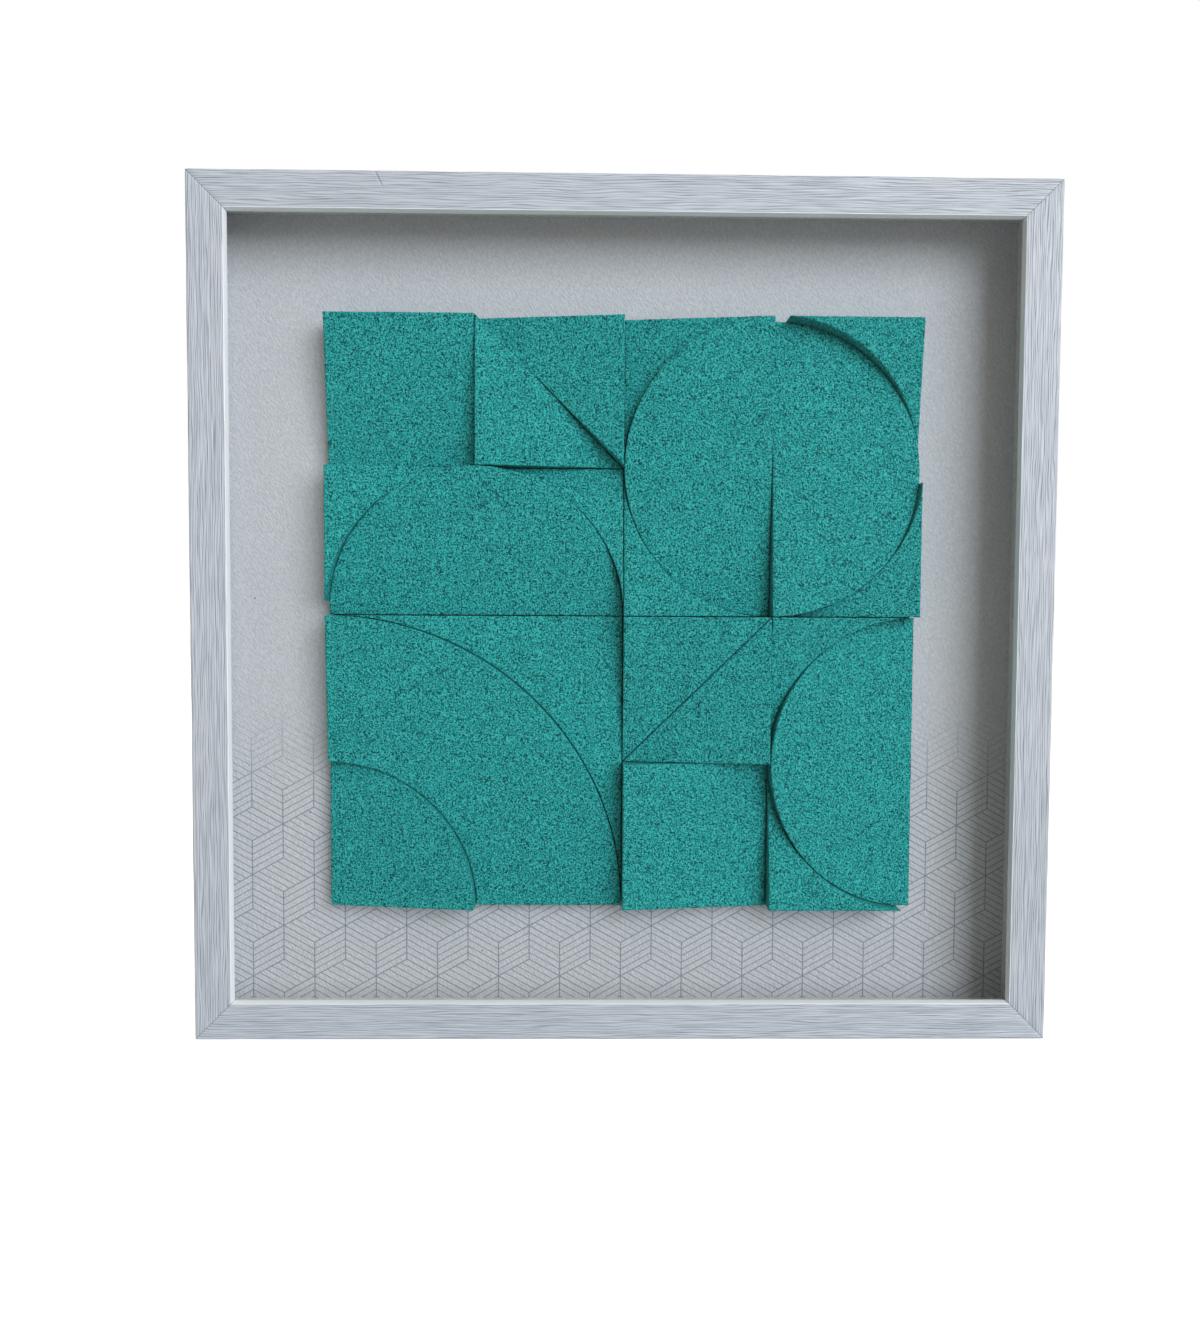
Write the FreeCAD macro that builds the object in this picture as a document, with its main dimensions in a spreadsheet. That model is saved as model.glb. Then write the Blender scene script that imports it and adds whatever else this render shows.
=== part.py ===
import FreeCAD, Part
import os
import Sketcher
from FreeCAD import Placement, Rotation, Vector

# A square shadow-box frame that holds a raised geometric relief panel behind glass.
#
# The frame stands on its bottom rail. +X runs to the viewer's right, +Z runs up, and the front faces
# -Y. The origin is at the middle of the frame's underside, halfway between its front and its back.
# All sizes are in millimetres.
#
# From front to back: the lip of the rails, the glass, the spacer strips with the relief between them,
# the backing paper, the backing board, and the flat tabs that hold the board in.

doc = FreeCAD.newDocument("framed_relief")

# Driving dimensions
#
# Each one is set by itself. Fits between pieces are clearances with names of their own.

DRIVING_DIMENSIONS = {
    # outside of the frame
    "frame_width": 400.0,
    "frame_height": 400.0,
    "frame_depth": 40.0,
    # section of a rail
    "face_width": 17.0,
    "bevel_width": 0.8,
    "bevel_drop": 2.5,
    "lip_edge": 1.0,
    "side_wall": 5.5,
    "edge_round": 0.8,
    # what the rebate holds
    "glass_thickness": 2.0,
    "glass_play": 0.5,
    "spacer_thickness": 2.5,
    "spacer_depth": 26.5,
    "spacer_play": 0.2,
    "paper_thickness": 0.3,
    "board_thickness": 3.0,
    "board_play": 0.5,
    # relief panel: its grid, the board under it and its blocks
    "module": 71.0,
    "modules_across": 4,
    "carrier_thickness": 3.0,
    "carrier_inset": 1.0,
    "panel_drop": 1.0,
    "seam": 0.3,
    "block_low": 5.0,
    "block_high": 15.0,
    # V nails across the mitres
    "nail_leg": 4.0,
    "nail_thickness": 0.6,
    "nail_height": 15.0,
    # flat tabs behind the board
    "tabs_per_side": 3,
    "tab_pitch": 120.0,
    "tab_width": 6.0,
    "tab_length": 14.0,
    "tab_thickness": 0.5,
    "tab_bite": 3.5,
    # hanging plate
    "hanger_length": 46.0,
    "hanger_height": 9.0,
    "hanger_thickness": 0.8,
    "hanger_standoff": 1.2,
    "hanger_foot": 7.0,
    "hanger_ramp": 1.5,
    "hanger_drop": 30.0,
    "tooth_pitch": 2.4,
    "tooth_depth": 1.6,
    "tooth_count": 9,
    "rivet_radius": 1.2,
    "rivet_head_radius": 2.4,
    "rivet_head_height": 0.8,
    # how far a cutting shape passes the surface that it cuts
    "overrun": 5.0,
}

sheet = doc.addObject("Spreadsheet::Sheet", "Sizes")
for row, (alias, number) in enumerate(DRIVING_DIMENSIONS.items(), start=1):
    sheet.set(f"A{row}", alias)
    sheet.set(f"B{row}", str(number))
    sheet.setAlias(f"B{row}", alias)
doc.recompute()

# Depths, counted back from the front plane of the frame
LIP_BACK = "(Sizes.bevel_drop + Sizes.lip_edge)"
GLASS_BACK = f"({LIP_BACK} + Sizes.glass_thickness)"
PAPER_FRONT = f"({GLASS_BACK} + Sizes.spacer_depth)"
BOARD_FRONT = f"({PAPER_FRONT} + Sizes.paper_thickness)"
BOARD_BACK = f"({BOARD_FRONT} + Sizes.board_thickness)"

# Places and sizes that more than one piece follows
LIP_WIDTH = "(Sizes.face_width + Sizes.bevel_width)"
HALF_WIDTH = "(Sizes.frame_width / 2)"
HALF_HEIGHT = "(Sizes.frame_height / 2)"
FRONT_PLANE = "(-Sizes.frame_depth / 2)"
REBATE_WIDTH = "(Sizes.frame_width - 2 * Sizes.side_wall)"
REBATE_HEIGHT = "(Sizes.frame_height - 2 * Sizes.side_wall)"
PANEL_SIDE = "(Sizes.modules_across * Sizes.module)"
PANEL_CENTRE = f"({HALF_HEIGHT} - Sizes.panel_drop)"
RIVET_X = "(Sizes.hanger_length / 2 - Sizes.hanger_foot / 2)"
HANGER_TOP = "(Sizes.frame_height - Sizes.hanger_drop)"
NAIL_LINE = "(Sizes.side_wall / 2)"

# A piece drawn flat, with its own +Z towards the viewer, stands up when it is turned by FACING.
# A piece of the back, with its own +Z away from the viewer, is turned by BACKING instead.
FACING = Rotation(Vector(1, 0, 0), 90)
BACKING = Rotation(Vector(1, 0, 0), -90)


def size(formula):
    """The number that a formula of the sheet's sizes gives."""
    return float(sheet.evalExpression(str(formula)))


def at_depth(depth):
    """The formula for the place along Y of a depth behind the front plane."""
    return f"{depth} + {FRONT_PLANE}"


def place(piece, x="0", y="0", z="0", rotation=None):
    """Puts a piece at three formulas, turned by rotation."""
    piece.Placement = Placement(Vector(size(x), size(y), size(z)), rotation or Rotation())
    for axis, formula in (("x", x), ("y", y), ("z", z)):
        piece.setExpression(f"Placement.Base.{axis}", formula)


def new_body(label, **where):
    """A body with its label and its place."""
    body = doc.addObject("PartDesign::Body", label)
    body.Label = label
    place(body, **where)
    return body


def new_box(label, length, width, height, **where):
    """A rectangular piece, with its three sizes along X, Y and Z, and its place."""
    box = doc.addObject("Part::Box", label)
    box.Label = label
    box.setExpression("Length", length)
    box.setExpression("Width", width)
    box.setExpression("Height", height)
    place(box, **where)
    return box


def polygon(*corners):
    """A straight-sided outline through corners, each a pair of formulas."""
    return {"corners": corners}


def rectangle(x0, y0, x1, y1):
    """A rectangle between two opposite corners."""
    return polygon((x0, y0), (x1, y0), (x1, y1), (x0, y1))


def circle(x, y, radius):
    """A circle by its centre and radius."""
    return {"centre": (x, y), "radius": radius}


def bind(sketch, kind, element, point, formula):
    """A distance of a sketch that follows a formula."""
    if kind == "Radius":
        index = sketch.addConstraint(Sketcher.Constraint(kind, element, size(formula)))
    else:
        index = sketch.addConstraint(Sketcher.Constraint(kind, -1, 1, element, point, size(formula)))
    sketch.setExpression(f"Constraints[{index}]", formula)


def draw_polygon(sketch, corners):
    """Draws a closed chain of lines, with each corner held by its two distances."""
    points = [Vector(size(x), size(y), 0) for x, y in corners]
    following = points[1:] + points[:1]
    lines = [sketch.addGeometry(Part.LineSegment(a, b), False) for a, b in zip(points, following)]
    for line, after in zip(lines, lines[1:] + lines[:1]):
        sketch.addConstraint(Sketcher.Constraint("Coincident", line, 2, after, 1))
    for line, (x, y) in zip(lines, corners):
        bind(sketch, "DistanceX", line, 1, x)
        bind(sketch, "DistanceY", line, 1, y)


def draw_circle(sketch, centre, radius):
    """Draws a circle held by its centre and its radius."""
    x, y = centre
    middle = Vector(size(x), size(y), 0)
    ring = sketch.addGeometry(Part.Circle(middle, Vector(0, 0, 1), size(radius)), False)
    bind(sketch, "DistanceX", ring, 3, x)
    bind(sketch, "DistanceY", ring, 3, y)
    bind(sketch, "Radius", ring, 3, radius)


def new_sketch(body, name, outlines, plane="XY_Plane", offset=None):
    """A sketch of closed outlines on one of the body's own planes, moved along it by offset."""
    sketch = body.newObject("Sketcher::SketchObject", f"{body.Name}_{name}")
    support = next(item for item in body.Origin.OriginFeatures if item.Role == plane)
    sketch.AttachmentSupport = (support, [""])
    sketch.MapMode = "FlatFace"
    if offset:
        sketch.AttachmentOffset = Placement(Vector(0, 0, size(offset)), Rotation())
        sketch.setExpression("AttachmentOffset.Base.z", offset)
    for outline in outlines:
        if "corners" in outline:
            draw_polygon(sketch, outline["corners"])
        else:
            draw_circle(sketch, outline["centre"], outline["radius"])
    return sketch


def pad(body, sketch, length, reverse=False, symmetric=False):
    """Raises a sketch by a length."""
    feature = body.newObject("PartDesign::Pad", f"{sketch.Name}_pad")
    feature.Profile = sketch
    feature.setExpression("Length", length)
    feature.Reversed = reverse
    if symmetric:
        feature.SideType = "Symmetric"
    return feature


def pocket(body, sketch, length=None, reverse=False):
    """Cuts a sketch into the body, by a length or, with none, right through both ways."""
    feature = body.newObject("PartDesign::Pocket", f"{sketch.Name}_cut")
    feature.Profile = sketch
    feature.Reversed = reverse
    if length:
        feature.setExpression("Length", length)
    else:
        feature.Type = "ThroughAll"
        feature.SideType = "Symmetric"
    return feature


def tab_centres():
    """The formula for each tab's place along its side, counted from the side's middle."""
    count = int(size("Sizes.tabs_per_side"))
    return [f"({index - (count - 1) / 2}) * Sizes.tab_pitch" for index in range(count)]


# Rails
#
# A rail is drawn lying along its own X, with Y running in from the outer edge and Z towards the
# viewer. Its front plane is at Z 0.


def rail_section():
    """The section of a rail: flat face, bevel, lip, rebate behind the lip, and side wall."""
    bevel_foot = "-Sizes.bevel_drop"
    lip_back = f"-{LIP_BACK}"
    back = "-Sizes.frame_depth"
    return polygon(
        ("0", "0"),
        ("Sizes.face_width", "0"),
        (LIP_WIDTH, bevel_foot),
        (LIP_WIDTH, lip_back),
        ("Sizes.side_wall", lip_back),
        ("Sizes.side_wall", back),
        ("0", back),
    )


def mitre_wedge(half_length, side):
    """What is cut off one end of a rail, along the line at 45 degrees from its outer corner."""
    reach = "Sizes.overrun"
    return polygon(
        (f"{side} * ({half_length} + {reach})", f"-{reach}"),
        (f"{side} * ({half_length} + {reach})", f"{LIP_WIDTH} + {reach}"),
        (f"{side} * ({half_length} - {LIP_WIDTH} - {reach})", f"{LIP_WIDTH} + {reach}"),
    )


def nail_slot(half_length, side):
    """The slot at one end of a rail for one leg of a V nail."""
    inner = f"{side} * ({half_length} - {NAIL_LINE} - Sizes.nail_leg)"
    outer = f"{side} * ({half_length} - {NAIL_LINE} + Sizes.nail_thickness)"
    return rectangle(
        inner,
        f"{NAIL_LINE} - Sizes.nail_thickness / 2",
        outer,
        f"{NAIL_LINE} + Sizes.nail_thickness / 2",
    )


def tab_slot(centre):
    """The slot in a rail's side wall for the driven end of a tab."""
    return rectangle(
        f"{centre} - Sizes.tab_width / 2",
        "Sizes.side_wall - Sizes.tab_bite",
        f"{centre} + Sizes.tab_width / 2",
        "Sizes.side_wall + Sizes.overrun",
    )


def round_outer_edges(body, bar):
    """Rounds the two long outer edges of a rail's bar."""
    doc.recompute()
    names = []
    for index, edge in enumerate(bar.Shape.Edges, start=1):
        along = abs(edge.tangentAt(edge.FirstParameter).x) > 0.99
        middle = edge.CenterOfMass
        if along and abs(middle.y) < size("Sizes.edge_round") / 2:
            names.append(f"Edge{index}")
    rounding = body.newObject("PartDesign::Fillet", f"{body.Name}_rounding")
    rounding.Base = (bar, names)
    rounding.setExpression("Radius", "Sizes.edge_round")
    return rounding


def make_rail(label, length, turn, x, z):
    """One mitred rail, turned in the plane of the frame."""
    turned = FACING.multiply(Rotation(Vector(0, 0, 1), turn))
    body = new_body(label, x=x, y=FRONT_PLANE, z=z, rotation=turned)
    section = new_sketch(body, "section", [rail_section()], plane="YZ_Plane")
    bar = pad(body, section, length, symmetric=True)
    round_outer_edges(body, bar)
    half = f"({length} / 2)"
    ends = new_sketch(body, "mitres", [mitre_wedge(half, 1), mitre_wedge(half, -1)])
    pocket(body, ends)
    slots = [nail_slot(half, 1), nail_slot(half, -1)]
    nails = new_sketch(body, "nail_slots", slots, offset="-Sizes.frame_depth")
    pocket(body, nails, "Sizes.nail_height", reverse=True)
    slots = [tab_slot(centre) for centre in tab_centres()]
    level = f"-({BOARD_BACK} + Sizes.tab_thickness)"
    tabs = new_sketch(body, "tab_slots", slots, offset=level)
    pocket(body, tabs, "Sizes.tab_thickness", reverse=True)
    return body


def make_rails():
    """The four rails, bottom first and then round the frame."""
    return [
        make_rail("rail_bottom", "Sizes.frame_width", 0, "0", "0"),
        make_rail("rail_right", "Sizes.frame_height", 90, HALF_WIDTH, HALF_HEIGHT),
        make_rail("rail_top", "Sizes.frame_width", 180, "0", "Sizes.frame_height"),
        make_rail("rail_left", "Sizes.frame_height", 270, f"-{HALF_WIDTH}", HALF_HEIGHT),
    ]


# Nails and tabs


def corner_nail(side, height, inward):
    """The outline of one V nail: side is -1 or 1, height its corner's, inward 1 or -1 upwards."""
    x = f"{side} * ({HALF_WIDTH} - {NAIL_LINE})"
    y = f"({height} + {inward} * {NAIL_LINE})"
    half = "Sizes.nail_thickness / 2"
    across = f"{-side} * "
    upward = f"{inward} * "
    return polygon(
        (f"{x} - {across}{half}", f"{y} - {upward}{half}"),
        (f"{x} + {across}Sizes.nail_leg", f"{y} - {upward}{half}"),
        (f"{x} + {across}Sizes.nail_leg", f"{y} + {upward}{half}"),
        (f"{x} + {across}{half}", f"{y} + {upward}{half}"),
        (f"{x} + {across}{half}", f"{y} + {upward}Sizes.nail_leg"),
        (f"{x} - {across}{half}", f"{y} + {upward}Sizes.nail_leg"),
    )


def make_corner_nails():
    """Four V nails, driven into the back of the frame across its mitres."""
    body = new_body("corner_nails", y=at_depth("Sizes.frame_depth"), rotation=FACING)
    corners = [("0", 1), ("Sizes.frame_height", -1)]
    outlines = [corner_nail(side, height, inward) for side in (-1, 1) for height, inward in corners]
    pad(body, new_sketch(body, "outlines", outlines), "Sizes.nail_height")
    return body


def make_retaining_tabs():
    """Flat tabs that reach from slots in the side walls over the back of the board."""
    depth = f"{BOARD_BACK} + Sizes.tab_thickness"
    body = new_body("retaining_tabs", y=at_depth(depth), rotation=FACING)
    start = "(Sizes.side_wall - Sizes.tab_bite)"
    stop = f"({start} + Sizes.tab_length)"
    outlines = []
    for centre in tab_centres():
        low = f"({centre} - Sizes.tab_width / 2)"
        high = f"({centre} + Sizes.tab_width / 2)"
        outlines.append(rectangle(low, start, high, stop))
        outlines.append(rectangle(low, f"Sizes.frame_height - {stop}", high, f"Sizes.frame_height - {start}"))
        for side in (-1, 1):
            outlines.append(
                rectangle(
                    f"{side} * ({HALF_WIDTH} - {start})",
                    f"{HALF_HEIGHT} + {low}",
                    f"{side} * ({HALF_WIDTH} - {stop})",
                    f"{HALF_HEIGHT} + {high}",
                )
            )
    pad(body, new_sketch(body, "outlines", outlines), "Sizes.tab_thickness")
    return body


# Glass, spacers, paper and board


def make_glass_pane():
    """The pane, which lies against the back of the lip."""
    width = f"({REBATE_WIDTH} - 2 * Sizes.glass_play)"
    height = f"({REBATE_HEIGHT} - 2 * Sizes.glass_play)"
    return new_box(
        "glass_pane",
        width,
        "Sizes.glass_thickness",
        height,
        x=f"-{width} / 2",
        y=at_depth(LIP_BACK),
        z=f"{HALF_HEIGHT} - {height} / 2",
    )


def make_spacers():
    """Four strips between the glass and the paper, the two level ones between the two upright ones."""
    thickness = "Sizes.spacer_thickness"
    outer_x = f"({REBATE_WIDTH} / 2 - Sizes.spacer_play)"
    outer_z = f"({REBATE_HEIGHT} / 2 - Sizes.spacer_play)"
    level_length = f"(2 * ({outer_x} - {thickness}))"
    front = at_depth(GLASS_BACK)
    spacers = []
    for label, x in (
        ("spacer_left", f"-{outer_x}"),
        ("spacer_right", f"{outer_x} - {thickness}"),
    ):
        base = f"{HALF_HEIGHT} - {outer_z}"
        strip = new_box(label, thickness, "Sizes.spacer_depth", f"2 * {outer_z}", x=x, y=front, z=base)
        spacers.append(strip)
    for label, z in (
        ("spacer_bottom", f"{HALF_HEIGHT} - {outer_z}"),
        ("spacer_top", f"{HALF_HEIGHT} + {outer_z} - {thickness}"),
    ):
        left = f"-{level_length} / 2"
        strip = new_box(label, level_length, "Sizes.spacer_depth", thickness, x=left, y=front, z=z)
        spacers.append(strip)
    return spacers


def backing_outline():
    """The outline that the paper and the board share."""
    side = f"({REBATE_WIDTH} / 2 - Sizes.board_play)"
    return rectangle(
        f"-{side}",
        "Sizes.side_wall + Sizes.board_play",
        side,
        "Sizes.frame_height - Sizes.side_wall - Sizes.board_play",
    )


def make_backing_paper():
    """The printed sheet on the front of the board."""
    body = new_body("backing_paper", y=at_depth(BOARD_FRONT), rotation=FACING)
    pad(body, new_sketch(body, "outline", [backing_outline()]), "Sizes.paper_thickness")
    return body


def rivet_circles(height, radius):
    """The two circles of the hanger's rivets, at a height."""
    return [circle(f"{side} * {RIVET_X}", height, radius) for side in (-1, 1)]


def make_backing_board():
    """The board that closes the back, with the two holes for the hanger's rivets."""
    body = new_body("backing_board", y=at_depth(BOARD_BACK), rotation=FACING)
    pad(body, new_sketch(body, "outline", [backing_outline()]), "Sizes.board_thickness")
    holes = rivet_circles(f"{HANGER_TOP} - Sizes.hanger_height / 2", "Sizes.rivet_radius")
    pocket(body, new_sketch(body, "rivet_holes", holes))
    return body


# Hanging plate
#
# It is drawn with its own Z away from the board and its own Y down from its top edge.


def make_sawtooth_hanger():
    """A strip whose two feet lie on the board and whose middle stands off it, toothed underneath."""
    where = {"y": at_depth(BOARD_BACK), "z": HANGER_TOP, "rotation": BACKING}
    body = new_body("sawtooth_hanger", **where)
    end = "(Sizes.hanger_length / 2)"
    foot = f"({end} - Sizes.hanger_foot)"
    bridge = f"({foot} - Sizes.hanger_ramp)"
    thick = "Sizes.hanger_thickness"
    stand = "Sizes.hanger_standoff"
    side_view = polygon(
        (f"-{end}", "0"),
        (f"-{foot}", "0"),
        (f"-{bridge}", stand),
        (bridge, stand),
        (foot, "0"),
        (end, "0"),
        (end, thick),
        (foot, thick),
        (bridge, f"{stand} + {thick}"),
        (f"-{bridge}", f"{stand} + {thick}"),
        (f"-{foot}", thick),
        (f"-{end}", thick),
    )
    strip = new_sketch(body, "side_view", [side_view], plane="XZ_Plane")
    pad(body, strip, "Sizes.hanger_height", reverse=True)
    count = int(size("Sizes.tooth_count"))
    edge = "Sizes.hanger_height"
    row_start = f"(-{count} * Sizes.tooth_pitch / 2)"
    zigzag = [(row_start, f"{edge} + Sizes.overrun"), (row_start, edge)]
    for index in range(count):
        zigzag.append((f"{row_start} + {index + 0.5} * Sizes.tooth_pitch", f"{edge} - Sizes.tooth_depth"))
        zigzag.append((f"{row_start} + {index + 1} * Sizes.tooth_pitch", edge))
    zigzag.append((f"-{row_start}", f"{edge} + Sizes.overrun"))
    pocket(body, new_sketch(body, "teeth", [polygon(*zigzag)]))
    holes = rivet_circles("Sizes.hanger_height / 2", "Sizes.rivet_radius")
    pocket(body, new_sketch(body, "rivet_holes", holes))
    return body


def make_hanger_rivets():
    """Two rivets through the plate's feet and the board, with their heads behind the plate."""
    where = {"y": at_depth(BOARD_FRONT), "z": HANGER_TOP, "rotation": BACKING}
    body = new_body("hanger_rivets", **where)
    height = "Sizes.hanger_height / 2"
    grip = "(Sizes.board_thickness + Sizes.hanger_thickness)"
    shanks = new_sketch(body, "shanks", rivet_circles(height, "Sizes.rivet_radius"))
    pad(body, shanks, grip)
    heads = new_sketch(body, "heads", rivet_circles(height, "Sizes.rivet_head_radius"), offset=grip)
    pad(body, heads, "Sizes.rivet_head_height")
    return body


# Relief panel
#
# Blocks stand on a square grid. Their outlines are drawn from the panel's lower left corner, in
# modules, and every side stands back by half a seam, so that a seam lies between any two blocks. A
# block is a cell of the grid, less what lies outside or inside a circle or beyond a diagonal. Its
# face then rises evenly from block_low to block_high towards one side of its cell.

HALF_SEAM = "Sizes.seam / 2"
DIAGONAL_SEAM = "Sizes.seam / 2 * sqrt(2)"


def modules(count):
    """The formula for a number of modules."""
    return f"{count} * Sizes.module"


def make_carrier():
    """The board under the blocks, a little smaller than the panel."""
    side = f"({PANEL_SIDE} - 2 * Sizes.carrier_inset)"
    return new_box(
        "relief_carrier",
        side,
        "Sizes.carrier_thickness",
        side,
        x=f"-{side} / 2",
        y=at_depth(f"{PAPER_FRONT} - Sizes.carrier_thickness"),
        z=f"{PANEL_CENTRE} - {side} / 2",
    )


def keep_disc(u, v, radius):
    """What is cut so that only the inside of a circle stays."""
    reach = "Sizes.overrun"
    far = f"{PANEL_SIDE} + {reach}"
    surround = rectangle(
        f"{modules(u - radius)} - {reach}",
        f"{modules(v - radius)} - {reach}",
        f"{modules(u + radius)} + {far}",
        f"{modules(v + radius)} + {far}",
    )
    return [surround, circle(modules(u), modules(v), f"{modules(radius)} - {HALF_SEAM}")]


def cut_disc(u, v, radius):
    """What is cut so that the inside of a circle goes."""
    return [circle(modules(u), modules(v), f"{modules(radius)} + {HALF_SEAM}")]


def keep_corner(u, v, right, up):
    """What is cut so that one half of a cell stays: right and up, each -1 or 1, point to its corner.

    u and v are the cell's centre."""
    x = modules(u)
    y = modules(v)
    reach = "(Sizes.module / 2 + Sizes.overrun)"
    return [
        polygon(
            (f"{x} + {-right} * {reach}", f"{y} + {-up} * {reach}"),
            (f"{x} + {-right} * {reach}", f"{y} + {up} * ({reach} + {DIAGONAL_SEAM})"),
            (f"{x} + {right} * ({reach} + {DIAGONAL_SEAM})", f"{y} + {-up} * {reach}"),
        )
    ]


def rising_face(cell, rise):
    """The plane and the outline of what is cut off to leave a face that rises to one side."""
    u0, v0, u1, v1 = cell
    level = rise in ("right", "left")
    start, end = (u0, u1) if level else (v0, v1)
    if rise in ("left", "down"):
        start, end = end, start
    above = "Sizes.block_high + Sizes.overrun"
    outline = polygon(
        (modules(start), "Sizes.block_low"),
        (modules(end), "Sizes.block_high"),
        (modules(end), above),
        (modules(start), above),
    )
    return outline, "XZ_Plane" if level else "YZ_Plane"


def make_block(label, cell, rise, *cuts):
    """One block, from its cell, the side that its face rises to, and what is cut from its outline."""
    u0, v0, u1, v1 = cell
    body = new_body(
        label,
        x=f"-{PANEL_SIDE} / 2",
        y=at_depth(f"{PAPER_FRONT} - Sizes.carrier_thickness"),
        z=f"{PANEL_CENTRE} - {PANEL_SIDE} / 2",
        rotation=FACING,
    )
    outline = rectangle(
        f"{modules(u0)} + {HALF_SEAM}",
        f"{modules(v0)} + {HALF_SEAM}",
        f"{modules(u1)} - {HALF_SEAM}",
        f"{modules(v1)} - {HALF_SEAM}",
    )
    pad(body, new_sketch(body, "cell", [outline]), "Sizes.block_high")
    for index, cut in enumerate(cuts):
        pocket(body, new_sketch(body, f"shape_{index}", cut))
    slope, plane = rising_face(cell, rise)
    pocket(body, new_sketch(body, "slope", [slope], plane=plane))
    return body


def make_upper_left():
    """A square, a square split along its diagonal, and a half disc between two corner pieces."""
    half_disc = (1, 2, 1)
    return [
        make_block("relief_square_upper", (0, 3, 1, 4), "up"),
        make_block("relief_triangle_upper_outer", (1, 3, 2, 4), "right", keep_corner(1.5, 3.5, 1, 1)),
        make_block("relief_triangle_upper_inner", (1, 3, 2, 4), "left", keep_corner(1.5, 3.5, -1, -1)),
        make_block("relief_half_disc_upper", (0, 2, 2, 3), "up", keep_disc(*half_disc)),
        make_block("relief_horn_upper_left", (0, 2, 1, 3), "left", cut_disc(*half_disc)),
        make_block("relief_horn_upper_middle", (1, 2, 2, 3), "down", cut_disc(*half_disc)),
    ]


def make_upper_right():
    """A disc in two halves, with a piece in each corner round it."""
    disc = (3, 3, 1)
    return [
        make_block("relief_disc_left_half", (2, 2, 3, 4), "up", keep_disc(*disc)),
        make_block("relief_disc_right_half", (3, 2, 4, 4), "down", keep_disc(*disc)),
        make_block("relief_corner_top_left", (2, 3, 3, 4), "right", cut_disc(*disc)),
        make_block("relief_corner_top_right", (3, 3, 4, 4), "up", cut_disc(*disc)),
        make_block("relief_corner_low_left", (2, 2, 3, 3), "down", cut_disc(*disc)),
        make_block("relief_corner_low_right", (3, 2, 4, 3), "right", cut_disc(*disc)),
    ]


def make_lower_left():
    """A quarter disc, the quarter ring round it and the corner piece beyond."""
    inner = (0, 0, 1)
    outer = (0, 0, 2)
    return [
        make_block("relief_quarter_disc", (0, 0, 1, 1), "right", keep_disc(*inner)),
        make_block("relief_quarter_ring", (0, 0, 2, 2), "up", keep_disc(*outer), cut_disc(*inner)),
        make_block("relief_corner_large", (0, 0, 2, 2), "left", cut_disc(*outer)),
    ]


def make_lower_right():
    """A half disc on the right, its two corner pieces, a split square and a square."""
    half_disc = (4, 1, 1)
    return [
        make_block("relief_half_disc_lower", (3, 0, 4, 2), "left", keep_disc(*half_disc)),
        make_block("relief_horn_lower_bottom", (3, 0, 4, 1), "down", cut_disc(*half_disc)),
        make_block("relief_horn_lower_top", (3, 1, 4, 2), "up", cut_disc(*half_disc)),
        make_block("relief_triangle_lower_outer", (2, 1, 3, 2), "up", keep_corner(2.5, 1.5, -1, 1)),
        make_block("relief_triangle_lower_inner", (2, 1, 3, 2), "right", keep_corner(2.5, 1.5, 1, -1)),
        make_block("relief_square_lower", (2, 0, 3, 1), "left"),
    ]


# The whole object


def make_pieces():
    """Every piece of the object, from the outside in."""
    pieces = make_rails()
    pieces += [make_corner_nails(), make_retaining_tabs(), make_glass_pane()]
    pieces += make_spacers()
    pieces += [make_backing_paper(), make_backing_board()]
    pieces += [make_sawtooth_hanger(), make_hanger_rivets(), make_carrier()]
    pieces += make_upper_left() + make_upper_right() + make_lower_left() + make_lower_right()
    return pieces


def check(pieces):
    """Stops with a message if an object failed, a cut removed nothing or a piece isn't sound."""
    for item in doc.Objects:
        if "Invalid" in item.State or "Error" in item.State:
            raise RuntimeError(f"{item.Name} failed: {item.State}")
        if item.TypeId == "PartDesign::Pocket" and item.Shape.Volume >= item.BaseFeature.Shape.Volume:
            raise RuntimeError(f"{item.Name} removed nothing")
    for piece in pieces:
        if piece.Shape.isNull() or not piece.Shape.isValid() or not piece.Shape.Solids:
            raise RuntimeError(f"{piece.Label} has no sound shape")


def export(pieces):
    """Writes each piece to a file of its own."""
    os.makedirs("parts", exist_ok=True)
    for piece in pieces:
        piece.Shape.exportStep(os.path.join("parts", f"{piece.Label}.step"))


all_pieces = make_pieces()
doc.recompute()
check(all_pieces)
export(all_pieces)
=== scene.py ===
"""Dressed model of a square shadow-box frame with a stepped teal relief behind glass."""

import logging
import math
from dataclasses import dataclass
from enum import Enum, IntEnum
from functools import partial
from typing import Callable, Protocol

import bmesh
import bpy
import numpy as np
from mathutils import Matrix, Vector
from mathutils.geometry import delaunay_2d_cdt


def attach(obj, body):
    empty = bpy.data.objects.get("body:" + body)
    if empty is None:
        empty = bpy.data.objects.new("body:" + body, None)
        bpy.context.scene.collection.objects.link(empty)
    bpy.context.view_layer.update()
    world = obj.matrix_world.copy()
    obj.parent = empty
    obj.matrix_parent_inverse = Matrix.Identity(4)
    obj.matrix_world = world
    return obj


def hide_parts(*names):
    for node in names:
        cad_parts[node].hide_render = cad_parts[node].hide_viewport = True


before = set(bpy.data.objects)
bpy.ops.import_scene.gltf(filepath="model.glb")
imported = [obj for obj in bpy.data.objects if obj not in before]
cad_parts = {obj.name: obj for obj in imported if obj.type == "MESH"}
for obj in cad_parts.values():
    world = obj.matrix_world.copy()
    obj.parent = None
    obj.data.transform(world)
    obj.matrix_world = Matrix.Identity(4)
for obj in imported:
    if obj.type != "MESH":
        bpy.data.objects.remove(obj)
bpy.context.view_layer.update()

logging.basicConfig(level=logging.INFO, format="%(levelname)s %(message)s")
log = logging.getLogger("relief_panel")

MM = 0.001
FRAME_SIDE = 400.0
FRAME_HALF = FRAME_SIDE / 2
FRAME_DEPTH = 40.0

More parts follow.
